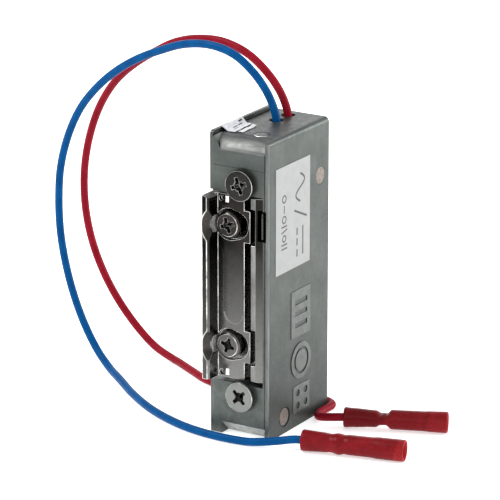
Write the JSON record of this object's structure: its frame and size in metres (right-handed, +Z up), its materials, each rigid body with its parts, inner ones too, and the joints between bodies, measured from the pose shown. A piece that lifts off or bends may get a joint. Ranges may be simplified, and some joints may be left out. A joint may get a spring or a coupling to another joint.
{
  "type": "electric door strike",
  "caption": "Slim electric door strike: cast case with a swinging keeper, adjustable latch insert, lock lever and coil, and two leads ending in bullet receptacles.",
  "frame": {"origin": "on the ground under the middle of the case, keeper lip included", "axes": "+Z up the case, -Y out of the front face that the latch meets, +X towards the closed right side"},
  "size_m": [0.1149, 0.0467, 0.0913],
  "materials": {
    "zinc_casting": "as-cast zinc alloy, grey-green, softly mottled",
    "zinc_sheet": "zinc-plated steel sheet, dull",
    "copper_rivet": "copper-washed steel, pinkish, fine brushed",
    "bright_pin": "ground bright steel",
    "dark_nickel": "dark nickel plate on a casting, glossy with brown reflections",
    "dark_screw": "nickel-plated steel screw, dark",
    "case_screw": "nickel-plated steel screw",
    "spring_steel": "bright drawn wire",
    "plated_steel": "zinc-plated steel, satin",
    "soft_iron": "nickel-plated soft iron, satin",
    "black_nylon": "moulded black nylon",
    "enamelled_wire": "enamelled copper wire, layer wound",
    "amber_tape": "amber polyester coil tape",
    "tinned_brass": "tinned brass",
    "ivory_nylon": "moulded ivory nylon",
    "white_paper": null,
    "seal_foil": "thin white seal sticker, crumpled",
    "blue_pvc": "blue PVC insulation, satin",
    "red_pvc": "red PVC insulation, satin",
    "red_vinyl": "red vinyl sleeve, slightly translucent"
  },
  "bodies": {
    "root": {"housing": "zinc_casting", "left_cover": "zinc_sheet", "cover_rivets": "copper_rivet", "keeper_pivot_pin": "bright_pin", "locking_lever_pin": "bright_pin", "armature_pin": "bright_pin", "lever_spring": "spring_steel", "armature_spring": "spring_steel", "coil_bobbin": "black_nylon", "coil_winding": "enamelled_wire", "coil_tape": "amber_tape", "coil_core": "soft_iron", "magnet_yoke": "soft_iron", "terminal_tags": "tinned_brass", "lead_clamp": "ivory_nylon", "case_screws": "case_screw", "side_label": "white_paper", "seal_label": "seal_foil", "blue_lead": "blue_pvc", "red_lead": "red_pvc", "blue_sleeve": "red_vinyl", "blue_socket": "tinned_brass", "red_sleeve": "red_vinyl", "red_socket": "tinned_brass"},
    "keeper": {"keeper_base": "dark_nickel", "keeper_screws": "dark_screw", "keeper_spring": "spring_steel"},
    "insert": {"keeper_insert": "dark_nickel"},
    "lever": {"locking_lever": "plated_steel"},
    "armature": {"armature": "soft_iron"}
  },
  "joints": [
    {"name": "keeper_swing", "type": "hinge", "parent": "root", "child": "keeper", "pos_m": [0.00235, -0.00575, 0.0375], "axis": [0, 0, -1], "range_deg": [0, 35], "stiffness_Nm_per_rad": 0.02, "springref_deg": -17.19},
    {"name": "insert_adjust", "type": "slide", "parent": "keeper", "child": "insert", "axis": [-1, 0, 0], "range_m": [0, 0.0018]},
    {"name": "lever_swing", "type": "hinge", "parent": "root", "child": "lever", "pos_m": [-0.001, 0.0025, 0.031], "axis": [1, 0, 0], "range_deg": [0, 14.2], "deforming": ["lever_spring"]},
    {"name": "armature_lift", "type": "hinge", "parent": "root", "child": "armature", "pos_m": [-0.001, 0.013, 0.0412], "axis": [-1, 0, 0], "range_deg": [0, 6.3], "deforming": ["armature_spring"]}
  ],
  "couplings": [
    {"joint": "lever_swing", "follows": "keeper_swing", "ratio": 0.4},
    {"joint": "armature_lift", "follows": "keeper_swing", "ratio": 0.177}
  ]
}
